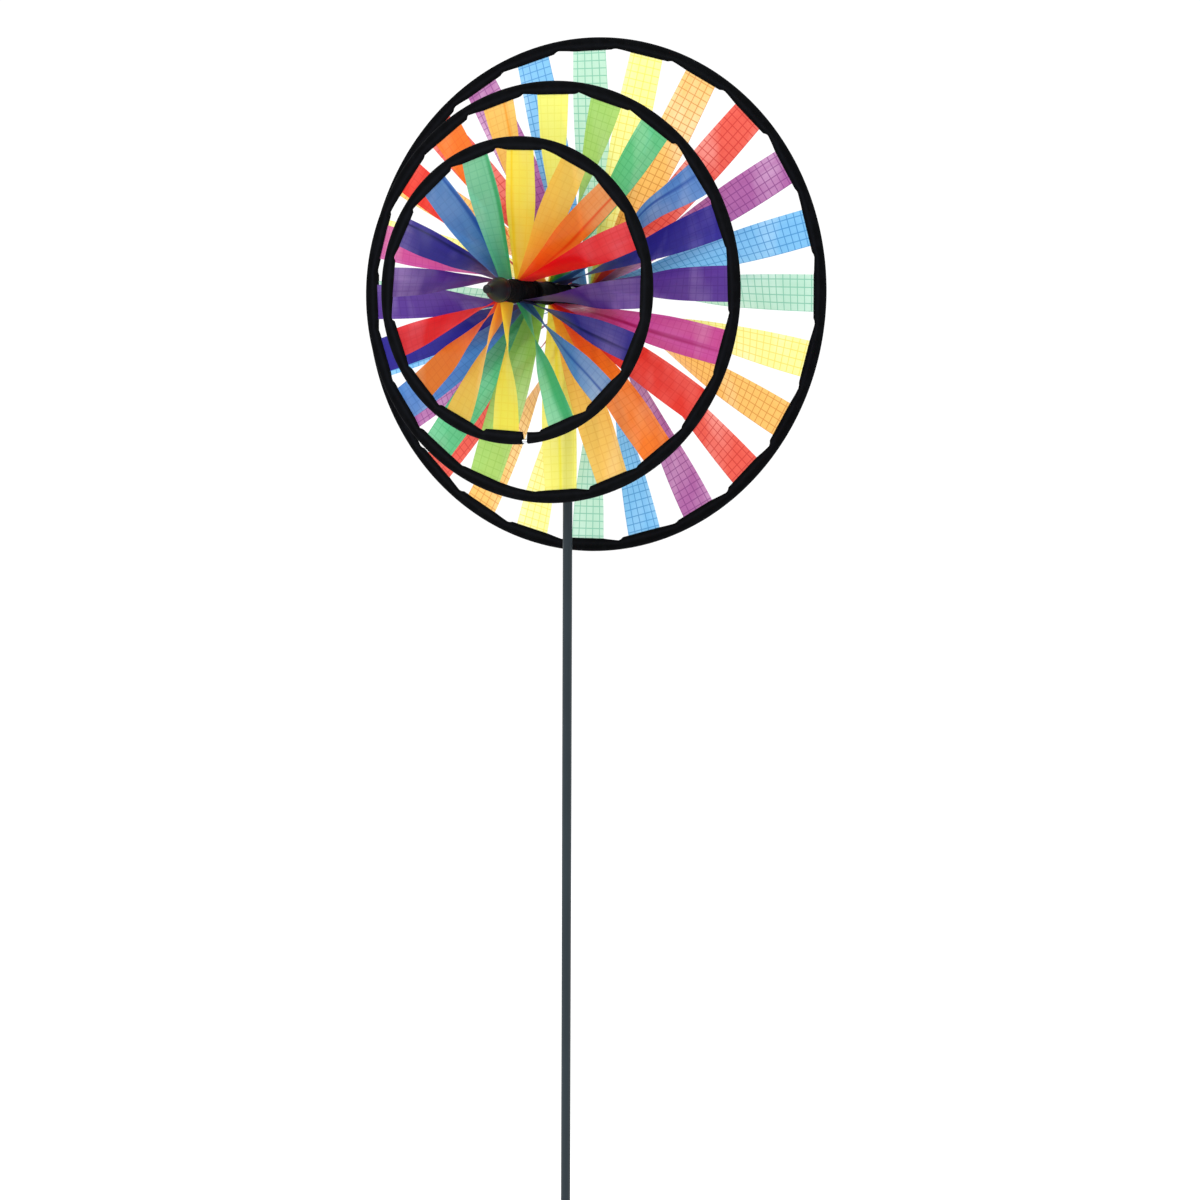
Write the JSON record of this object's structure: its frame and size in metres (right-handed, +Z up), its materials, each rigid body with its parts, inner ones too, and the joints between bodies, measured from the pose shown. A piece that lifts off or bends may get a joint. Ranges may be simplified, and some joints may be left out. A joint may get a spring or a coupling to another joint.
{
  "type": "wind spinner",
  "caption": "Garden wind spinner with three coaxial ribbon wheels of graded size, turning on a horizontal axle on top of a thin ground pole.",
  "frame": {"origin": "the pole's lower end, on its axis", "axes": "+Z up along the pole; -Y towards the front (small wheel and nose cap); +X to the right seen from the front"},
  "size_m": [0.35, 0.1847, 1],
  "materials": {
    "pole_rod": "satin slate-grey fibreglass",
    "moulded_black": "satin black moulded plastic",
    "axle_rod": "dark fibreglass rod",
    "steel": "turned steel",
    "nylon": "natural nylon",
    "sleeve_fabric": "black woven polyester",
    "hoop_rod": "pale fibreglass rod",
    "aluminium": "drawn aluminium tube",
    "small_ripstop_green": "green ripstop fabric, translucent",
    "small_ripstop_yellow": "yellow ripstop fabric, translucent",
    "small_ripstop_amber": "amber ripstop fabric, translucent",
    "small_ripstop_orange": "orange ripstop fabric, translucent",
    "small_ripstop_red": "red ripstop fabric, translucent",
    "small_ripstop_violet": "violet ripstop fabric, translucent",
    "small_ripstop_indigo": "indigo ripstop fabric, translucent",
    "small_ripstop_blue": "blue ripstop fabric, translucent",
    "medium_ripstop_red": "red ripstop fabric, translucent",
    "medium_ripstop_orange": "orange ripstop fabric, translucent",
    "medium_ripstop_amber": "amber ripstop fabric, translucent",
    "medium_ripstop_yellow": "yellow ripstop fabric, translucent",
    "medium_ripstop_lime": "lime ripstop fabric, translucent",
    "medium_ripstop_green": "green ripstop fabric, translucent",
    "medium_ripstop_blue": "blue ripstop fabric, translucent",
    "medium_ripstop_indigo": "indigo ripstop fabric, translucent",
    "medium_ripstop_violet": "violet ripstop fabric, translucent",
    "medium_ripstop_magenta": "magenta ripstop fabric, translucent",
    "large_ripstop_green": "green ripstop fabric, translucent",
    "large_ripstop_yellow": "yellow ripstop fabric, translucent",
    "large_ripstop_orange": "orange ripstop fabric, translucent",
    "large_ripstop_red": "red ripstop fabric, translucent",
    "large_ripstop_purple": "purple ripstop fabric, translucent",
    "large_ripstop_blue": "blue ripstop fabric, translucent"
  },
  "bodies": {
    "pole": {"pole": "pole_rod", "pole_pivot_pin": "steel"},
    "head": {"tee_connector": "moulded_black", "axle": "axle_rod", "nose_cap": "moulded_black", "rear_cap": "moulded_black", "thrust_washers": "nylon", "spacer_bead": "moulded_black"},
    "wheel_small": {"small_hoop": "hoop_rod", "small_hoop_ferrule": "aluminium", "small_hub_band_front": "sleeve_fabric", "small_hub_band_rear": "sleeve_fabric", "small_hub_tube": "moulded_black", "small_ribbons_amber": "small_ripstop_amber", "small_ribbons_blue": "small_ripstop_blue", "small_ribbons_green": "small_ripstop_green", "small_ribbons_indigo": "small_ripstop_indigo", "small_ribbons_orange": "small_ripstop_orange", "small_ribbons_red": "small_ripstop_red", "small_ribbons_violet": "small_ripstop_violet", "small_ribbons_yellow": "small_ripstop_yellow", "small_rim_sleeve": "sleeve_fabric"},
    "wheel_medium": {"medium_hoop": "hoop_rod", "medium_hoop_ferrule": "aluminium", "medium_hub_band_front": "sleeve_fabric", "medium_hub_band_rear": "sleeve_fabric", "medium_hub_tube": "moulded_black", "medium_ribbons_amber": "medium_ripstop_amber", "medium_ribbons_blue": "medium_ripstop_blue", "medium_ribbons_green": "medium_ripstop_green", "medium_ribbons_indigo": "medium_ripstop_indigo", "medium_ribbons_lime": "medium_ripstop_lime", "medium_ribbons_magenta": "medium_ripstop_magenta", "medium_ribbons_orange": "medium_ripstop_orange", "medium_ribbons_red": "medium_ripstop_red", "medium_ribbons_violet": "medium_ripstop_violet", "medium_ribbons_yellow": "medium_ripstop_yellow", "medium_rim_sleeve": "sleeve_fabric"},
    "wheel_large": {"large_hoop": "hoop_rod", "large_hoop_ferrule": "aluminium", "large_hub_band_front": "sleeve_fabric", "large_hub_band_rear": "sleeve_fabric", "large_hub_tube": "moulded_black", "large_ribbons_blue": "large_ripstop_blue", "large_ribbons_green": "large_ripstop_green", "large_ribbons_orange": "large_ripstop_orange", "large_ribbons_purple": "large_ripstop_purple", "large_ribbons_red": "large_ripstop_red", "large_ribbons_yellow": "large_ripstop_yellow", "large_rim_sleeve": "sleeve_fabric"}
  },
  "joints": [
    {"name": "head_swivel", "type": "hinge", "parent": "pole", "child": "head", "pos_m": [0, 0, 0.825], "axis": [0, 0, 1], "continuous": true},
    {"name": "small_wheel_spin", "type": "hinge", "parent": "head", "child": "wheel_small", "pos_m": [0, -0.07801, 0.825], "axis": [0, -1, 0], "continuous": true},
    {"name": "medium_wheel_spin", "type": "hinge", "parent": "head", "child": "wheel_medium", "pos_m": [0, -0.03061, 0.825], "axis": [0, -1, 0], "continuous": true},
    {"name": "large_wheel_spin", "type": "hinge", "parent": "head", "child": "wheel_large", "pos_m": [0, 0.03061, 0.825], "axis": [0, -1, 0], "continuous": true}
  ]
}
